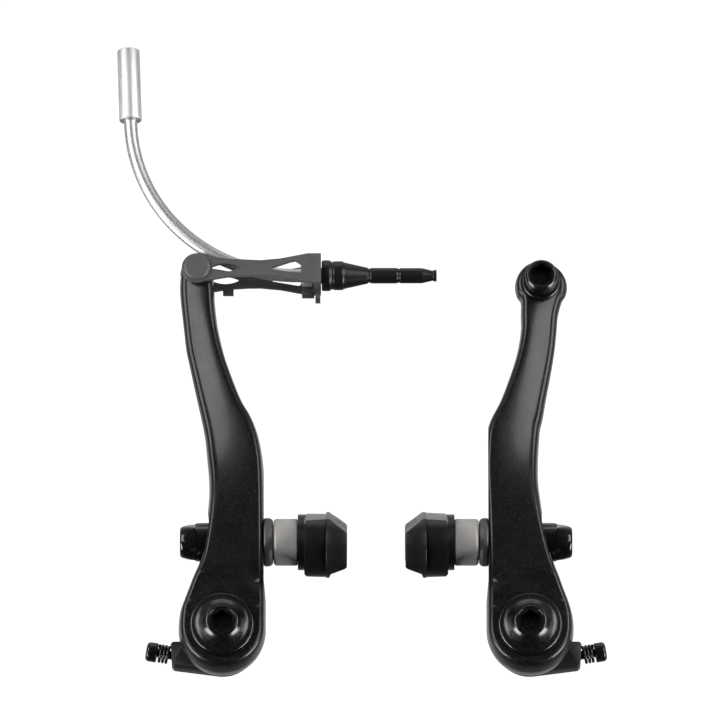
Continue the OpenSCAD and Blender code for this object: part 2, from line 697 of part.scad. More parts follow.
left_arm();
right_arm();
pivot_bushing();  // left_pivot_bushing
on_right() pivot_bushing();  // right_pivot_bushing
fixing_bolt();  // left_fixing_bolt
on_right() fixing_bolt();  // right_fixing_bolt
spring_holder();  // left_spring_holder
on_right() spring_holder();  // right_spring_holder
return_spring();  // left_return_spring
on_right() return_spring();  // right_return_spring
spring_peg();  // left_spring_peg
on_right() spring_peg();  // right_spring_peg
tension_screw();  // left_tension_screw
on_right() tension_screw();  // right_tension_screw
tension_coil();  // left_tension_coil
on_right() tension_coil();  // right_tension_coil
link();
link_pin();
link_clip();
guide_tube();
housing_socket();
tube_tip();
boot();
cable_bolt();
cable_washer();
inner_dome();  // left_inner_dome
on_right() inner_dome();  // right_inner_dome
spacer();  // left_spacer
on_right() spacer();  // right_spacer
outer_dome();  // left_outer_dome
on_right() outer_dome();  // right_outer_dome
cup_washer();  // left_cup_washer
on_right() cup_washer();  // right_cup_washer
nut();  // left_nut
on_right() nut();  // right_nut
shoe();  // left_shoe
on_right() shoe();  // right_shoe
pad();  // left_pad
on_right() pad();  // right_pad
stud();  // left_stud
on_right() stud();  // right_stud
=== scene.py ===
import json
import math
import bmesh
import bpy
from mathutils import Matrix, Vector


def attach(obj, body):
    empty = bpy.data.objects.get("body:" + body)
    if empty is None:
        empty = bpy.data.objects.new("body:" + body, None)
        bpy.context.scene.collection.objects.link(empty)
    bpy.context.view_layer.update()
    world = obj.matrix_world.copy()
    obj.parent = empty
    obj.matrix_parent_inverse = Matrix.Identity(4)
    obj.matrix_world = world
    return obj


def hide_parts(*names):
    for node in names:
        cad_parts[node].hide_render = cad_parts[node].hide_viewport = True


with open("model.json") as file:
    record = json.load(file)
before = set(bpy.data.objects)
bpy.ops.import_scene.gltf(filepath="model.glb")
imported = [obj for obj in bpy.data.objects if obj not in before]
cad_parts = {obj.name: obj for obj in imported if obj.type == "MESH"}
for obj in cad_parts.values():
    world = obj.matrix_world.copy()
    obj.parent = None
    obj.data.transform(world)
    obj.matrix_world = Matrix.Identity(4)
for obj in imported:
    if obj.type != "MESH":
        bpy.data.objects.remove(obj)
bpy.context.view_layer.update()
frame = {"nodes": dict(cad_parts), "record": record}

# places that pieces share, in millimetres from the left pivot: X to the right arm, Y away from the camera, Z up
mm = 0.001
pivotSpacing = 91
armY = -12  # the middle of both arms
studHeight = 27.7
linkPin = (-7.9, 112)
tubeZ = 111.6
endWallX = 27  # the link's folded end, where the boot starts
anchor = (94.7, 107.8)  # the cable bolt on the right arm
through = (-30, 5)  # from in front of the arms to behind them
weld = 0.002 * mm
mirrored = Matrix.Translation((pivotSpacing * mm, 0, 0)) @ Matrix.Scale(-1, 4, (1, 0, 0))

# in metres: the camera stands far off and below, as the photograph's perspective asks
view = {"target": (0.040724, -0.012, 0.084947), "elevation": -19.34, "distance": 4, "lens": 671.8}
tilt = math.radians(view["elevation"])
eye = Vector(view["target"]) + view["distance"] * Vector((0, -math.cos(tilt), math.sin(tilt)))
bpy.ops.object.camera_add(location=eye, rotation=(math.pi / 2 - tilt, 0, 0))
camera = bpy.context.object
camera.data.lens = view["lens"]
camera.data.clip_end = 100
bpy.context.scene.camera = camera
bpy.context.scene.view_settings.view_transform = "Standard"


def deselect():
    if bpy.context.object and bpy.context.object.mode != "OBJECT":
        bpy.ops.object.mode_set(mode="OBJECT")
    bpy.ops.object.select_all(action="DESELECT")


def take(piece):
    deselect()
    piece.select_set(True)
    bpy.context.view_layer.objects.active = piece
    return piece


def settle(piece):
    take(piece)
    bpy.ops.object.transform_apply(location=True, rotation=True, scale=True)
    return piece


def modify(piece, kind, **settings):
    take(piece)
    modifier = piece.modifiers.new(kind.lower(), kind)
    for key, value in settings.items():
        setattr(modifier, key, value)
    bpy.ops.object.modifier_apply(modifier=modifier.name)


def edit(piece, select="SELECT"):
    take(piece)
    bpy.ops.object.mode_set(mode="EDIT")
    bpy.ops.mesh.select_all(action=select)


def outwards(piece, merge=weld):
    edit(piece)
    bpy.ops.mesh.remove_doubles(threshold=merge)
    bpy.ops.mesh.normals_make_consistent(inside=False)
    bpy.ops.object.mode_set(mode="OBJECT")
    return piece


def smooth(piece, angle=35):
    take(piece)
    bpy.ops.object.shade_smooth_by_angle(angle=math.radians(angle))
    return piece


# a socket, so that sums on it can be written as Python
class Wire:
    def __init__(self, tree, socket):
        self.tree, self.socket = tree, socket

    def sum(self, operation, *values):
        return self.tree.node("ShaderNodeMath", {"operation": operation}, dict(enumerate(values)))

    def __add__(self, other):
        return self.sum("ADD", self, other)

    def __sub__(self, other):
        return self.sum("SUBTRACT", self, other)

    def __rsub__(self, other):
        return self.sum("SUBTRACT", other, self)

    def __mul__(self, other):
        return self.sum("MULTIPLY", self, other)

    __radd__ = __add__
    __rmul__ = __mul__


class Nodes:
    def __init__(self, tree):
        self.tree = tree

    def feed(self, socket, value):
        if isinstance(value, Wire):
            self.tree.links.new(value.socket, socket)
        else:
            socket.default_value = value

    def node(self, kind, settings, inputs, output=0):
        made = self.tree.nodes.new(kind)
        for key, value in settings.items():
            if key == "stops":
                for k, (place, colour) in enumerate(value):
                    stop = made.color_ramp.elements[k] if k < 2 else made.color_ramp.elements.new(place)
                    stop.position, stop.color = place, colour
            else:
                setattr(made, key, value)
        for key, value in inputs.items():
            self.feed(made.inputs[key], value)
        return Wire(self, made.outputs[output])

    def range(self, value, low, high, toLow, toHigh):
        return self.node("ShaderNodeMapRange", {}, {
            "Value": value, "From Min": low, "From Max": high, "To Min": toLow, "To Max": toHigh})


# a material; numbers that are the same all over go straight on its shader
class Finish(Nodes):
    def __init__(self, name, **constants):
        self.material = bpy.data.materials.new(name)
        self.material.use_nodes = True
        super().__init__(self.material.node_tree)
        self.shader = next(n for n in self.tree.nodes if n.type == "BSDF_PRINCIPLED")
        for key, value in constants.items():
            self.shader.inputs[key.replace("_", " ")].default_value = value

    def place(self):
        return self.node("ShaderNodeTexCoord", {}, {}, "Object")

    def stretched(self, scale):
        return self.node("ShaderNodeMapping", {}, {"Vector": self.place(), "Scale": scale})

    def noise(self, scale, detail=2.0, where=None):
        return self.node("ShaderNodeTexNoise", {},
                         {"Vector": where or self.place(), "Scale": scale, "Detail": detail})

    def blend(self, factor, first, second):
        return self.node("ShaderNodeMix", {"data_type": "RGBA"}, {0: factor, 6: first, 7: second}, 2)

    def bump(self, height, strength, distance):
        return self.node("ShaderNodeBump", {}, {"Height": height, "Strength": strength, "Distance": distance})

    def set(self, **links):
        for key, value in links.items():
            self.feed(self.shader.inputs[key.replace("_", " ")], value)
        return self.material


def grey(value, warm=0.0):
    return (value * (1 + warm), value, value * (1 - warm), 1)


def armPaint(name, tone=0.001, fleckTone=0.06):
    f = Finish(name, IOR=1.4, Coat_Weight=0.15, Coat_Roughness=0.14)
    flakes = f.noise(4200, 1.0)
    cloud = f.noise(260, 3.0)
    fleck = f.range(flakes, 0.58, 0.74, 0, 1)
    colour = f.blend(fleck * 0.85, grey(tone), grey(fleckTone))
    return f.set(Base_Color=colour, Roughness=f.range(cloud, 0.3, 0.7, 0.3, 0.36),
                 Metallic=fleck * 0.4, Normal=f.bump(flakes, 0.3, 0.00005))


def glossBlack(name, tone=0.006, rough=0.2):
    f = Finish(name, IOR=1.55)
    grain = f.noise(900, 3.0)
    fine = f.noise(4200, 2.0)
    return f.set(Base_Color=f.blend(grain, grey(tone), grey(tone * 1.8)),
                 Roughness=f.range(grain, 0.3, 0.7, rough * 0.85, rough * 1.2),
                 Normal=f.bump(fine, 0.05, 0.00002))


def linkGrey(name):
    f = Finish(name)
    grain = f.noise(3800, 2.0)
    cloud = f.noise(180, 2.0)
    return f.set(Base_Color=f.blend(cloud, grey(0.07), grey(0.09)), Metallic=0.2,
                 Roughness=f.range(grain, 0.3, 0.7, 0.44, 0.56), Normal=f.bump(grain, 0.12, 0.00003))


def metal(name, tone, rough, warm=0.0, scale=(1, 1, 1), bumps=0.06):
    f = Finish(name, Metallic=1.0)
    lines = f.noise(2600, 2.0, f.stretched(scale))
    cloud = f.noise(220, 2.0)
    return f.set(Base_Color=f.blend(cloud, grey(tone * 0.92, warm), grey(tone, warm)),
                 Roughness=f.range(lines, 0.3, 0.7, rough * 0.8, rough * 1.25),
                 Normal=f.bump(lines, bumps, 0.00003))


def blasted(name, tone):
    f = Finish(name, Metallic=0.35)
    grit = f.noise(3600, 3.0)
    cloud = f.noise(300, 2.0)
    return f.set(Base_Color=f.blend(cloud, grey(tone * 0.8, 0.03), grey(tone, 0.03)),
                 Roughness=f.range(grit, 0.3, 0.7, 0.5, 0.7), Normal=f.bump(grit, 0.45, 0.00006))


def rubber(name, tone, rough):
    f = Finish(name, Specular_IOR_Level=0.4)
    grain = f.noise(2400, 3.0)
    return f.set(Base_Color=f.blend(grain, grey(tone), grey(tone * 1.7)),
                 Roughness=f.range(grain, 0.3, 0.7, rough * 0.9, rough * 1.1),
                 Normal=f.bump(grain, 0.15, 0.00004))


finishes = {
    "arm_paint": armPaint("armPaint"),
    "bolt_black": glossBlack("boltBlack", 0.002, 0.24),
    "nut_black": glossBlack("nutBlack", 0.002, 0.16),
    "link_grey": linkGrey("linkGrey"),
    "bright_tube": metal("brightTube", 0.55, 0.42),
    "socket_satin": metal("satinSocket", 0.66, 0.5, scale=(1, 1, 0.05)),
    "spacer_blasted": blasted("blastedAluminium", 0.42),
    "washer_grey": metal("darkWasher", 0.14, 0.58, warm=0.03),
    "steel_bare": metal("bareSteel", 0.5, 0.3),
    "spring_steel": metal("springSteel", 0.3, 0.28),
    "holder_plastic": rubber("holderPlastic", 0.0015, 0.42),
    "shoe_moulding": rubber("shoeMoulding", 0.0015, 0.34),
    "pad_rubber": rubber("padRubber", 0.0025, 0.4),
    "boot_rubber": rubber("bootRubber", 0.003, 0.36),
}
slotOf = {s["node"]: s["material_slot"] for s in frame["record"]["subparts"]}
bodyOf = {n: b for b, members in frame["record"]["behaviour"]["bodies"].items() for n in members}
for nodeName, node in frame["nodes"].items():
    node.data.materials.clear()
    node.data.materials.append(finishes[slotOf[nodeName]])
print("finishes made:", len(finishes))


def standFor(piece, node):
    piece.name = node.replace("_", "-") + "-finished"
    piece.data.materials.clear()
    piece.data.materials.append(finishes[slotOf[node]])
    smooth(piece)
    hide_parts(node)
    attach(piece, bodyOf[node])
    return piece


def rounded(profile, cuts=4):
    # a corner that has a third number is rounded off by that many millimetres,
    # and by just under half of each side at most
    points = []
    for k, corner in enumerate(profile):
        here = Vector(corner[:2])
        if len(corner) < 3 or k in (0, len(profile) - 1):
            points.append(here)
            continue
        before, after = Vector(profile[k - 1][:2]) - here, Vector(profile[k + 1][:2]) - here
        reach = min(corner[2], 0.48 * before.length, 0.48 * after.length)
        start, end = here + before.normalized() * reach, here + after.normalized() * reach
        for i in range(cuts + 1):
            t = i / cuts
            points.append(start * (1 - t) ** 2 + here * 2 * t * (1 - t) + end * t * t)
    return points


def turned(profile, centre, axis, steps=72):
    # a ring is extruded through the profile's radii and places, given in millimetres
    points = rounded(profile)
    closed = (points[0] - points[-1]).length < 1e-6
    deselect()
    bpy.ops.mesh.primitive_circle_add(vertices=steps, radius=points[0].x * mm)
    piece = bpy.context.object
    edit(piece)
    if not closed:
        bpy.ops.mesh.edge_face_add()
    bpy.ops.transform.translate(value=(0, 0, points[0].y * mm))
    extrude = bpy.ops.mesh.extrude_edges_move if closed else bpy.ops.mesh.extrude_region_move
    for last, here in zip(points, points[1:]):
        extrude(TRANSFORM_OT_translate={"value": (0, 0, (here.y - last.y) * mm)})
        share = here.x / last.x
        bpy.ops.transform.resize(value=(share, share, 1), center_override=(0, 0, here.y * mm))
    bpy.ops.object.mode_set(mode="OBJECT")
    toward = Vector(axis).to_track_quat("Z", "Y").to_matrix().to_4x4()
    piece.matrix_world = Matrix.Translation(Vector(centre) * mm) @ toward
    settle(piece)
    return outwards(piece)


def carve(piece, cutter, operation="DIFFERENCE"):
    modify(piece, "BOOLEAN", operation=operation, object=cutter, solver="EXACT")
    bpy.data.objects.remove(cutter)


def rod(radius, start, end, steps=64):
    start, end = Vector(start) * mm, Vector(end) * mm
    deselect()
    bpy.ops.mesh.primitive_cylinder_add(vertices=steps, radius=radius * mm, depth=(end - start).length)
    piece = bpy.context.object
    turn = (end - start).to_track_quat("Z", "Y").to_matrix().to_4x4()
    piece.matrix_world = Matrix.Translation((start + end) / 2) @ turn
    return settle(piece)


def block(low, high):
    low, high = Vector(low) * mm, Vector(high) * mm
    deselect()
    bpy.ops.mesh.primitive_cube_add(size=1, location=(low + high) / 2)
    piece = bpy.context.object
    piece.scale = high - low
    return settle(piece)


def thread(radius, pitch, start, end, axis, crest=0.32):
    # a three-sided ridge is wound up the screw; the shank that it joins is thinner by the crest
    start, end = Vector(start) * mm, Vector(end) * mm
    length, ridge = (end - start).length, crest * 1.2
    deselect()
    bpy.ops.mesh.primitive_circle_add(vertices=3, radius=ridge * mm, rotation=(math.pi / 2, 0, 0))
    piece = bpy.context.object
    settle(piece)
    edit(piece)
    bpy.ops.transform.translate(value=((radius - ridge) * mm, 0, 0))
    bpy.ops.object.mode_set(mode="OBJECT")
    modify(piece, "SCREW", axis="Z", screw_offset=pitch * mm, angle=2 * math.pi,
           iterations=max(1, int(length / mm / pitch)), steps=24, render_steps=24)
    edit(piece, "DESELECT")
    bpy.ops.mesh.select_mode(type="EDGE")
    bpy.ops.mesh.select_non_manifold()
    bpy.ops.mesh.fill()
    bpy.ops.object.mode_set(mode="OBJECT")
    toward = Vector(axis).to_track_quat("Z", "Y").to_matrix().to_4x4()
    piece.matrix_world = Matrix.Translation(start) @ toward
    settle(piece)
    return outwards(piece)


def join(piece, *others):
    take(piece)
    for other in others:
        other.select_set(True)
    bpy.ops.object.join()
    return bpy.context.object


def wirePiece(points, radius, sides=6, bore=0):
    curve = bpy.data.curves.new("wire", "CURVE")
    curve.dimensions = "3D"
    curve.bevel_depth = radius * mm
    curve.bevel_resolution = sides
    curve.use_fill_caps = not bore
    line = curve.splines.new("POLY")
    line.points.add(len(points) - 1)
    for point, place in zip(line.points, points):
        point.co = (*(Vector(place) * mm), 1)
    piece = bpy.data.objects.new("wire", curve)
    bpy.context.scene.collection.objects.link(piece)
    take(piece)
    bpy.ops.object.convert(target="MESH")
    piece = bpy.context.object
    if bore:
        modify(piece, "SOLIDIFY", thickness=(radius - bore) * mm, offset=-1)
    return outwards(piece)


def copyAt(piece, place):
    # a piece of its own, without what the first one says of itself
    take(piece)
    bpy.ops.object.duplicate()
    other = bpy.context.object
    other.parent = None
    other.matrix_world = place
    for key in [k for k in other.keys() if k.startswith("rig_")]:
        del other[key]
    return settle(other)


def onRight(piece):
    return copyAt(piece, Matrix.Translation((pivotSpacing * mm, 0, 0)))


def bothSides(piece, node):
    # the same piece on both arms, the other way round on the right one
    other = outwards(copyAt(piece, mirrored))
    standFor(piece, "left_" + node)
    standFor(other, "right_" + node)


def finishedCopy(node, bevel, segments, angle, flat=4):
    # a copy of a CAD node: triangles within flat degrees become whole faces, and sharper edges are broken
    deselect()
    piece = bpy.data.objects.new(node, frame["nodes"][node].data.copy())
    bpy.context.scene.collection.objects.link(piece)
    edit(piece)
    bpy.ops.mesh.remove_doubles(threshold=weld)
    bpy.ops.mesh.dissolve_limited(angle_limit=math.radians(flat))
    bpy.ops.object.mode_set(mode="OBJECT")
    modify(piece, "BEVEL", width=bevel * mm, segments=segments, limit_method="ANGLE",
           angle_limit=math.radians(angle), harden_normals=False, use_clamp_overlap=True)
    return standFor(piece, node)


# each arm's face is a grid between its two sides; its edge is drawn back ring by ring, and the half mirrored
arms = {
    "hubRadius": 12.9, "hubDepth": 12, "slotDepth": 14, "topDepth": 9,
    "hubEdge": (13.4, 18.5),  # from the pivot, where the hub thickens to the slot's depth
    "slotTop": 40, "neck": 70, "neckShare": 0.4, "topStart": 95,
    "lean": 2.6, "leanCurve": 1.6, "leanGrows": (30, 62), "leanFades": (88, 106), "leanLoss": 0.35,
    "draft": 2, "levels": [(1, 1), (0.8, 0.985), (0.55, 0.92), (0.3, 0.77), (0.12, 0.45), (0, 0)],
    "across": 12, "perSpan": 6, "perLevel": 3, "tipEnd": 82,
    "bore": 5.3, "slot": 3.4, "pocket": 6.2, "wall": 4.6, "travel": 3,
    "flat": 12.2, "flatBottom": 15, "flatTop": 66, "runOut": (1, 0, -9),
    "pegHole": 1.5, "pegHoleFront": -10, "pinBore": 2.55, "boltBore": 3,
}
pegPlace = (5.3, 51)
# height, left side and right side
leftSides = [
    (0, -12.9, 12.9), (3, -12.8, 12.9), (6, -12.4, 12.9), (9, -11.4, 12.9), (12.5, -10.1, 12.9),
    (16, -8.8, 12.8), (22, -6.5, 12.7), (31, -5, 12.6), (41, -4.1, 12.5), (47, -4.1, 12.3),
    (53, -4.6, 11.9), (60, -5.3, 10.7), (66, -6.4, 8.6), (72, -7.7, 5.4), (82, -9.8, 1.7),
    (88, -11, -0.1), (95, -11.8, -1.6), (102, -12.6, -2.45), (106.5, -12.95, -2.7), (109.3, -12.92, -2.86),
]
rightSides = [
    (0, -12.9, 12.9), (3, -12.8, 12.9), (6, -12.3, 12.9), (9, -11.4, 12.9), (12.5, -10.1, 12.9),
    (16, -8.9, 12.9), (22, -6.8, 12.9), (31, -4.7, 13), (41, -3.2, 13.3), (47, -2.6, 13.5),
    (53, -2.6, 13.4), (59, -2.9, 13.1), (63, -3.3, 12.4), (66, -4, 11.3), (72, -5, 8.4),
    (82, -6.8, 4.9), (88, -7.7, 3.3), (94, -8.3, 2.4), (98.5, -8.7, 2.4),
]


def spline(a, b, c, d, t):
    return [0.5 * (2 * q + (r - p) * t + (2 * p - 5 * q + 4 * r - s) * t * t
                   + (3 * q - p - 3 * r + s) * t ** 3) for p, q, r, s in zip(a, b, c, d)]


def curved(points, cuts):
    last = len(points) - 1
    made = [spline(points[max(i - 1, 0)], points[i], points[i + 1], points[min(i + 2, last)], j / cuts)
            for i in range(last) for j in range(cuts)]
    return made + [list(points[-1])]


def ease(value, low, high):
    t = min(max((value - low) / (high - low), 0), 1)
    return t * t * (3 - 2 * t)


def halfDepth(x, z, u):
    hub, slot, top = arms["hubDepth"] / 2, arms["slotDepth"] / 2, arms["topDepth"] / 2
    neck = arms["slotDepth"] * arms["neckShare"]
    # the face falls away towards the outer side, and less so by the tip
    lean = arms["lean"] * (1 - u) ** arms["leanCurve"] * ease(z, *arms["leanGrows"])
    lean = lean * (1 - arms["leanLoss"] * ease(z, *arms["leanFades"]))
    if z < arms["slotTop"]:
        return hub + (slot - hub) * ease(math.hypot(x, z), *arms["hubEdge"]) - lean
    if z < arms["neck"]:
        return slot + (neck - slot) * (z - arms["slotTop"]) / (arms["neck"] - arms["slotTop"]) - lean
    if z < arms["topStart"]:
        return neck + (top - neck) * (z - arms["neck"]) / (arms["topStart"] - arms["neck"]) - lean
    return top - lean


def roundBottom(radius):
    angles = [math.radians(a) for a in (2, 12, 22, 34, 46, 58, 70, 80)]
    return [(-radius * math.cos(a), -radius * math.sin(a), radius * math.sin(a)) for a in angles]


def roundTop(x, z, radius, start):
    angles = [math.radians(start + (arms["tipEnd"] - start) * k / 7) for k in range(8)]
    return [(z + radius * math.sin(a), x - radius * math.cos(a), x + radius * math.cos(a)) for a in angles]


def forgedArm(sides, top):
    pairs = curved(roundBottom(arms["hubRadius"]) + sides + roundTop(*top), arms["perSpan"])
    rows, columns = len(pairs), arms["across"]
    left = [Vector((p[1], p[0])) for p in pairs]
    right = [Vector((p[2], p[0])) for p in pairs]

    def inwardAt(line, k, turn):
        along = line[min(k + 1, rows - 1)] - line[max(k - 1, 0)]
        return Vector((along.y, -along.x)).normalized() * turn

    inLeft = [inwardAt(left, k, 1) for k in range(rows)]
    inRight = [inwardAt(right, k, -1) for k in range(rows)]
    for line in (inLeft, inRight):  # the end loops close over the arm's tips
        line[0] = Vector((line[0].x * 0.3, 1)).normalized()
        line[-1] = Vector((line[-1].x * 0.3, -1)).normalized()

    def corner(u, k, inset, deep):
        base = left[k].lerp(right[k], u)
        inwards = inLeft[k] if u < 0.5 else inRight[k]
        if k in (0, rows - 1):
            inwards = inLeft[k].lerp(inRight[k], u)
        flat = base + inwards.normalized() * inset * arms["draft"]
        return Vector((flat.x, -deep * halfDepth(*base, u), flat.y)) * mm

    deselect()
    bpy.ops.mesh.primitive_grid_add(x_subdivisions=columns, y_subdivisions=rows - 1, size=1)
    piece = bpy.context.object
    acrossTag = piece.data.attributes.new("across", "FLOAT", "POINT")
    alongTag = piece.data.attributes.new("along", "INT", "POINT")
    for k, vertex in enumerate(piece.data.vertices):
        u, row = (k % (columns + 1)) / columns, k // (columns + 1)
        acrossTag.data[k].value, alongTag.data[k].value = u, row
        a, b = corner(0, row, 1, 1), corner(1, row, 1, 1)
        place = a.lerp(b, u)
        place.y = -halfDepth(place.x / mm, place.z / mm, u) * mm
        vertex.co = place
    edit(piece, "DESELECT")
    bpy.ops.mesh.select_mode(type="EDGE")
    bpy.ops.mesh.select_non_manifold()
    for inset, deep in curved(arms["levels"], arms["perLevel"])[1:]:
        bpy.ops.mesh.extrude_edges_move(TRANSFORM_OT_translate={"value": (0, 0, 0)})
        mesh = bmesh.from_edit_mesh(piece.data)
        u, row = mesh.verts.layers.float["across"], mesh.verts.layers.int["along"]
        for vertex in mesh.verts:
            if vertex.select:
                vertex.co = corner(vertex[u], vertex[row], inset, deep)
        bmesh.update_edit_mesh(piece.data)
    bpy.ops.object.mode_set(mode="OBJECT")
    modify(piece, "MIRROR", use_axis=(False, True, False), merge_threshold=0.005 * mm)
    piece.location.y = armY * mm
    settle(piece)
    outwards(piece, 0.01 * mm)
    carve(piece, rod(arms["bore"], (0, through[0], 0), (0, through[1], 0)))
    lowest = studHeight - arms["travel"]
    for radius, inner, outer in ((arms["slot"], -5, 20), (arms["pocket"], -20, arms["wall"])):
        cutter = rod(radius, (inner, armY, lowest), (outer, armY, lowest), 66)
        edit(cutter, "DESELECT")
        mesh = bmesh.from_edit_mesh(cutter.data)
        for vertex in mesh.verts:
            if vertex.co.z > (lowest - 0.01) * mm:
                vertex.co.z += 2 * arms["travel"] * mm
        bmesh.update_edit_mesh(cutter.data)
        carve(piece, cutter)
    mill = block((arms["flat"], through[0], arms["flatBottom"]),
                 (arms["flat"] + 5, through[1], arms["flatTop"]))
    edit(mill, "DESELECT")
    bpy.ops.mesh.select_mode(type="FACE")
    mesh = bmesh.from_edit_mesh(mill.data)
    for face in mesh.faces:
        face.select_set(face.normal.z < -0.9)
    bmesh.update_edit_mesh(mill.data)
    bpy.ops.mesh.extrude_region_move(TRANSFORM_OT_translate={"value": Vector(arms["runOut"]) * mm})
    bpy.ops.object.mode_set(mode="OBJECT")
    carve(piece, mill)
    x, z = pegPlace
    carve(piece, rod(arms["pegHole"], (x, arms["pegHoleFront"], z), (x, through[1], z), 32))
    return piece


def boreTop(arm, radius, x, z):
    carve(arm, rod(radius, (x, through[0], z), (x, through[1], z)))


leftArm = forgedArm(leftSides, (*linkPin, 5, -12))
boreTop(leftArm, arms["pinBore"], *linkPin)
standFor(outwards(leftArm), "left_arm")
boltX = pivotSpacing - anchor[0]  # the right arm is made as a left one and mirrored
rightArm = forgedArm(rightSides, (boltX, anchor[1], 7.8, -38))
boreTop(rightArm, arms["boltBore"], boltX, anchor[1])
rightArm.matrix_world = mirrored
settle(rightArm)
standFor(outwards(rightArm), "right_arm")
print("arms:", len(leftArm.data.polygons), len(rightArm.data.polygons))

# the hub: flanged bolt with its socket and thread, and the bushing it holds
pivot = {
    "socket": 6, "socketEnd": -18.9, "thread": 3, "pitch": 1, "threadFrom": -7, "threadTo": 3,
    "bolt": [(0.01, 4), (2.2, 4), (2.68, 3.5), (2.68, -7), (2.7, -18.3), (9.2, -18.3), (9.5, -18.6, 0.2),
             (9.5, -19.5, 0.25), (9.1, -19.85, 0.2), (7.4, -20, 1), (5.4, -21.5, 1.2), (4.7, -22.3, 0.2),
             (4.4, -22.4, 0.1), (4.2, -22.4), (4, -22.1), (0.01, -22.05)],
    "bushing": [(4.05, 0), (4.05, -18.3), (4.95, -18.3), (5.25, -18, 0.15), (5.25, -0.3, 0.15), (4.95, 0),
                (4.05, 0)],
}
flangedBolt = turned(pivot["bolt"], (0, 0, 0), (0, 1, 0), 96)
carve(flangedBolt, rod(pivot["socket"] / math.sqrt(3), (0, -23.3, 0), (0, pivot["socketEnd"], 0), 6))
join(flangedBolt, thread(pivot["thread"], pivot["pitch"], (0, pivot["threadFrom"], 0),
                         (0, pivot["threadTo"], 0), (0, 1, 0)))
standFor(onRight(flangedBolt), "right_fixing_bolt")
standFor(flangedBolt, "left_fixing_bolt")
bushing = turned(pivot["bushing"], (0, 0, 0), (0, 1, 0))
standFor(onRight(bushing), "right_pivot_bushing")
standFor(bushing, "left_pivot_bushing")
print("pivots")

# the return spring, its peg, and the tension screw with its coil
spring = {"wire": 0.75, "radius": 7.6, "turns": 2, "steps": 40, "pitch": 1.56, "hub": -5.2, "leg": -4.2,
          "legBend": (9, 17), "legPoints": (3, 6, 9, 11, 13, 15, 17, 30, 45, 54),
          "peg": [(0.01, -10), (1.5, -10, 0.1), (1.5, -3.6), (2.2, -3.2, 0.15), (1.9, -2.7, 0.2), (0.01, -2.7)]}
coil = []  # two turns round the holder, then the leg up the arm's back
for k in range(spring["turns"] * spring["steps"] + 1):
    left = spring["turns"] * spring["steps"] - k
    turn = -math.radians(left * 360 / spring["steps"])
    coil.append((spring["radius"] * math.cos(turn), spring["hub"] + left * spring["pitch"] / spring["steps"],
                 spring["radius"] * math.sin(turn)))
for z in spring["legPoints"]:
    coil.append((spring["radius"],
                 spring["hub"] + (spring["leg"] - spring["hub"]) * ease(z, *spring["legBend"]), z))
bothSides(wirePiece(coil, spring["wire"]), "return_spring")
bothSides(turned(spring["peg"], (pegPlace[0], 0, pegPlace[1]), (0, 1, 0), 48), "spring_peg")

tension = {"place": (-15.4, -2.85, -4.5), "rise": 10, "slot": 0.8, "thread": 1.45, "pitch": 0.5, "crest": 0.2,
           "coilTurns": 3, "coilSteps": 24, "coilWire": 0.45, "coilRadius": 2.4, "coilLength": 4,
           "screw": [(0.01, -7.2), (2.3, -7.2, 0.1), (2.9, -6.6, 0.35), (2.9, -4, 0.15), (1.22, -4),
                     (1.22, 5.2, 0.2), (0.8, 5.5), (0.01, 5.5)]}
rise = math.radians(tension["rise"])
into = Vector((math.cos(rise), 0, -math.sin(rise)))
side = Vector((math.sin(rise), 0, math.cos(rise)))
start = Vector(tension["place"])
headTop = start + into * tension["screw"][0][1]
screw = turned(tension["screw"], start, into, 64)
# a four-sided rod mills the screwdriver's slot
carve(screw, rod(tension["slot"] / math.sqrt(2), headTop - side * 5, headTop + side * 5, 4))
join(screw, thread(tension["thread"], tension["pitch"], start - into * 3.9, start + into * 5, into,
                   tension["crest"]))
bothSides(screw, "tension_screw")
path = []
for k in range(tension["coilSteps"] * tension["coilTurns"] + 1):
    turn, turns = k * math.tau / tension["coilSteps"], k / tension["coilSteps"]
    rest = tension["coilLength"] - 2 * tension["coilWire"]
    along = tension["coilWire"] - tension["coilLength"] + turns * rest / tension["coilTurns"]
    out = side * math.cos(turn) + Vector((0, 1, 0)) * math.sin(turn)
    path.append(start + into * along + out * tension["coilRadius"])
bothSides(wirePiece(path, tension["coilWire"]), "tension_coil")
print("springs")

# what sits on the shoe's stud; the domed washers meet their cups on a ball
studAxis = (0, armY, studHeight)
ball = {"radius": 12, "centre": 13.909}


def onBall(radii, extra=0.0):
    return [(h, ball["centre"] - math.sqrt((ball["radius"] + extra) ** 2 - h * h)) for h in radii]


studLine = {
    "inner_dome": [(3.4, 12.25), (6.9, 12.25, 0.1), (7.2, 12.6, 0.3), (7.2, 14, 0.7), (6.6, 14.95, 0.6),
                   (5.2, 15.08, 0.3), (4.3, 15.4), (3.4, 15.7), (3.4, 12.25)],
    "spacer": [(3.05, 15.95), (5, 15.2), (6.3, 15.13, 0.2), (6.95, 15.75, 0.25), (6.95, 22, 0.2),
               (6.65, 22.25), (3.05, 22.25), (3.05, 15.95)],
    "outer_dome": [(3.4, 4.55), (5.6, 4.55, 0.1), (5.8, 4.35, 0.1), (5.8, 3, 0.2)]
                  + onBall((5, 4.6, 4.2, 3.8, 3.4)) + [(3.4, 4.55)],
    "cup_washer": [(3.05, -0.5), (5.6, -0.5, 0.1), (5.8, -0.3, 0.1), (5.8, 2.95, 0.2)]
                  + onBall((5, 4.5, 4, 3.5, 3.05), 0.05) + [(3.05, -0.5)],
}
for nodeName, profile in studLine.items():
    bothSides(turned(profile, studAxis, (1, 0, 0), 96), nodeName)

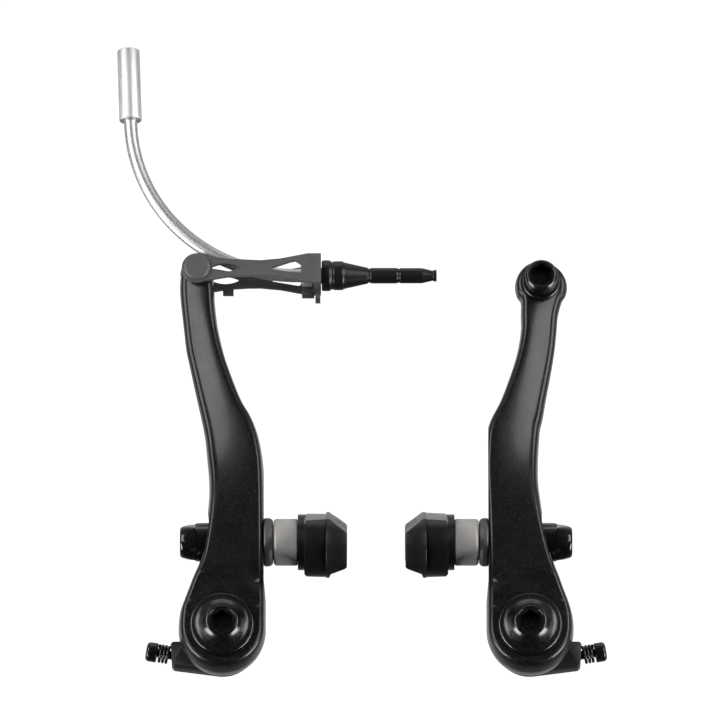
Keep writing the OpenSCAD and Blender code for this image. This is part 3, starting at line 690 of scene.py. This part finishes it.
# six flats are milled into the nut's tapered tip, one of them facing the camera
nutShape = {"tip": -12.6, "flats": 9.7, "mill": 5.2, "socket": 5, "socketDepth": 3.5,
            "bore": 3.05, "boreDepth": 4.5,
            "profile": [(0.01, -12.6), (4.1, -12.6, 0.1), (4.6, -12.1, 0.3), (5.5, -9, 0.8), (5.8, -7, 1.2),
                        (5.8, -0.8, 0.2), (5.6, -0.5, 0.1), (0.01, -0.5)]}
tip, flat = nutShape["tip"], nutShape["flats"] / 2
nut = turned(nutShape["profile"], studAxis, (1, 0, 0), 96)
for k in range(6):
    turn = math.radians(60 * k + 30)
    out = Vector((0, math.sin(turn), math.cos(turn)))
    start = Vector((tip, armY, studHeight)) + out * flat
    carve(nut, rod(nutShape["mill"], start, start + out * 5, 96))
carve(nut, rod(nutShape["socket"] / math.sqrt(3), (tip - 1, armY, studHeight),
               (tip + nutShape["socketDepth"], armY, studHeight), 6))
carve(nut, rod(nutShape["bore"], (tip + nutShape["boreDepth"], armY, studHeight), (5, armY, studHeight)))
bothSides(nut, "nut")

studShape = {"thread": 3, "pitch": 1, "threadFrom": -7.2, "threadTo": 21.5,
             "profile": [(0.01, -7.6), (2.4, -7.6), (2.7, -7.3), (2.7, 22.3), (3, 22.4), (3, 23.3), (4, 23.3),
                         (4, 24.9), (0.01, 24.9)]}
stud = turned(studShape["profile"], studAxis, (1, 0, 0), 48)
join(stud, thread(studShape["thread"], studShape["pitch"], (studShape["threadFrom"], armY, studHeight),
                  (studShape["threadTo"], armY, studHeight), (1, 0, 0)))
bothSides(stud, "stud")
print("stud line")

# the bolt that clamps the cable, and its grooved washer
clamp = {
    "socket": 6, "socketEnd": -20.6, "thread": 3, "pitch": 1, "threadFrom": -9, "threadTo": -7,
    "cable": 0.8, "cableY": -16.5,
    "bolt": [(0.01, -6.5), (2.4, -6.5), (2.7, -7), (2.7, -18.1), (4.85, -18.1, 0.1), (4.85, -23.2, 0.2),
             (4.2, -24.05, 0.1), (3.95, -24.1), (3.75, -23.95), (0.01, -23.9)],
    "washer": [(3, -16.5), (3, -18.1), (5.35, -18.1, 0.1), (5.65, -17.8, 0.2), (5.65, -16.5, 0.1),
               (3, -16.5)],
}
middle = (anchor[0], 0, anchor[1])
capBolt = turned(clamp["bolt"], middle, (0, 1, 0), 96)
carve(capBolt, rod(clamp["socket"] / math.sqrt(3), (anchor[0], -25, anchor[1]),
                   (anchor[0], clamp["socketEnd"], anchor[1]), 6))
join(capBolt, thread(clamp["thread"], clamp["pitch"], (anchor[0], clamp["threadFrom"], anchor[1]),
                     (anchor[0], clamp["threadTo"], anchor[1]), (0, 1, 0)))
standFor(capBolt, "cable_bolt")
washer = turned(clamp["washer"], middle, (0, 1, 0), 96)
carve(washer, rod(clamp["cable"], (pivotSpacing, clamp["cableY"], tubeZ),
                  (pivotSpacing + 20, clamp["cableY"], tubeZ)))
standFor(washer, "cable_washer")

# the link's pin, with its broad head towards the camera and a groove for the clip behind
pinShape = [(0.01, -19.6), (3.4, -19.6, 0.25), (3.95, -19.15, 0.25), (3.95, -18.32), (2.5, -18.32), (2.5, -5.4),
            (2, -5.4), (2, -4.7), (2.5, -4.7), (2.5, -4.3, 0.1), (2.2, -4, 0.1), (0.01, -4)]
standFor(turned(pinShape, (linkPin[0], 0, linkPin[1]), (0, 1, 0), 96), "link_pin")

# the boot's ribs and steps, from the link's end to its narrow mouth
bootShape = [
    (2.45, 0), (4.3, 0, 0.2), (4.65, 0.4, 0.2), (4.65, 2.3, 0.3), (4.15, 3, 0.2), (4.15, 3.4, 0.2),
    (4.35, 3.7, 0.2), (4.35, 6.2, 0.4), (4, 6.7, 0.3), (2.4, 13.8, 0.3), (2.1, 14, 0.15), (2.1, 14.4, 0.15),
    (2.35, 14.7, 0.15), (2.35, 22.4, 0.2), (2.1, 22.8, 0.15), (2.1, 23.2, 0.15), (2.3, 23.5, 0.15),
    (2.3, 29.9, 0.5), (1.5, 33.2, 0.2), (1.75, 33.4, 0.1), (1.75, 34.2, 0.1), (1.6, 34.3), (1.1, 34.3),
    (1.1, 9), (2.45, 6), (2.45, 0)]
standFor(turned(bootShape, (endWallX + 2.3, armY, tubeZ), (1, 0, 0), 96), "boot")

# the guide tube leaves the link level, bends upwards and ends in the housing socket
guide = {"outside": 2, "bore": 1.2, "from": 30.5, "bendFrom": 22, "bend": 50, "angle": 88, "end": 6,
         "steps": 72}
path = [(guide["from"], armY, tubeZ)]
for k in range(guide["steps"] + 1):
    turn = math.radians(guide["angle"] * k / guide["steps"])
    path.append((guide["bendFrom"] - guide["bend"] * math.sin(turn), armY,
                 tubeZ + guide["bend"] * (1 - math.cos(turn))))
path.append((path[-1][0] - guide["end"] * math.cos(turn), armY, path[-1][2] + guide["end"] * math.sin(turn)))
standFor(wirePiece(path, guide["outside"], 8, guide["bore"]), "guide_tube")

# the rest keeps the frame's own shape, with its edges broken: width in mm, steps, least angle
broken = {
    "link": (0.3, 3, 30), "link_clip": (0.08, 2, 30), "left_spring_holder": (0.3, 2, 30),
    "right_spring_holder": (0.3, 2, 30), "left_shoe": (0.5, 3, 24), "right_shoe": (0.5, 3, 24),
    "left_pad": (0.3, 2, 24), "right_pad": (0.3, 2, 24),
    "housing_socket": (0.1, 2, 30), "tube_tip": (0.08, 2, 30)}
for copied, (width, steps, least) in broken.items():
    finishedCopy(copied, width, steps, least)
print("copies:", len(broken))

# a round pale studio that only the camera sees; the sky and the lamps light the piece
studio = {"floor": -2400, "wall": 7000, "cove": 2500, "turnIn": 4000, "vault": 3900, "top": 8000}
room = turned([(0.01, studio["floor"]), (studio["wall"], studio["floor"], studio["cove"]),
               (studio["wall"], studio["turnIn"], studio["vault"]), (0.01, studio["top"])],
              (0, 0, 0), (0, 0, 1), 96)
room.name = "studio-room"
smooth(room, 60)
edit(room)
bpy.ops.mesh.flip_normals()
bpy.ops.object.mode_set(mode="OBJECT")
pale = Finish("paleFloor", Roughness=0.9, Base_Color=grey(0.9), Emission_Color=grey(1), Emission_Strength=1.0)
room.data.materials.append(pale.material)
for ray in ("diffuse", "glossy", "transmission", "volume_scatter", "shadow"):
    setattr(room, "visible_" + ray, False)

# the sky is bright behind the piece, dimmer below, and has a faint ceiling
world = bpy.data.worlds.new("studioAir")
world.use_nodes = True
sky = Nodes(world.node_tree)
towards = sky.node("ShaderNodeTexCoord", {}, {}, "Generated")
behind = sky.node("ShaderNodeSeparateXYZ", {}, {"Vector": towards}, "Y")
above = sky.node("ShaderNodeSeparateXYZ", {}, {"Vector": towards}, "Z")
backdrop = sky.range(behind, 0, 1, 0.03, 0.95) * sky.range(above, -0.4, 0.2, 0.2, 1)
ceiling = sky.range(above, 0.4, 1, 0, 0.3)
sky.feed(world.node_tree.nodes["Background"].inputs["Strength"], backdrop + ceiling)
world.node_tree.nodes["Background"].inputs["Color"].default_value = grey(1)
bpy.context.scene.world = world

# each lamp: where it stands around the piece, its size in metres and how bright its face is
lamps = {
    "left": {"azimuth": -48, "elevation": 12, "distance": 1.7, "size": (1.1, 1.2), "glow": 5.4},
    "right": {"azimuth": 48, "elevation": 12, "distance": 1.7, "size": (1.1, 1.2), "glow": 5.4},
    "overhead": {"azimuth": 0, "elevation": 78, "distance": 1.6, "size": (1.2, 0.7), "glow": 1.2},
    "lowLeft": {"azimuth": -80, "elevation": -30, "distance": 1.5, "size": (0.5, 0.9), "glow": 15},
    "lowRight": {"azimuth": 80, "elevation": -30, "distance": 1.5, "size": (0.5, 0.9), "glow": 15},
}
for lampName, lamp in lamps.items():
    around, up, aim = math.radians(lamp["azimuth"]), math.radians(lamp["elevation"]), Vector(view["target"])
    out = Vector((math.sin(around) * math.cos(up), -math.cos(around) * math.cos(up), math.sin(up)))
    bpy.ops.object.light_add(type="AREA", location=aim + out * lamp["distance"],
                             rotation=out.to_track_quat("Z", "Y").to_euler())
    light = bpy.context.object
    light.name = "lamp-" + lampName
    light.visible_camera = False
    light.data.shape = "RECTANGLE"
    light.data.size, light.data.size_y = lamp["size"]
    light.data.energy = lamp["glow"] * math.pi * lamp["size"][0] * lamp["size"][1]
print("studio")

deselect()
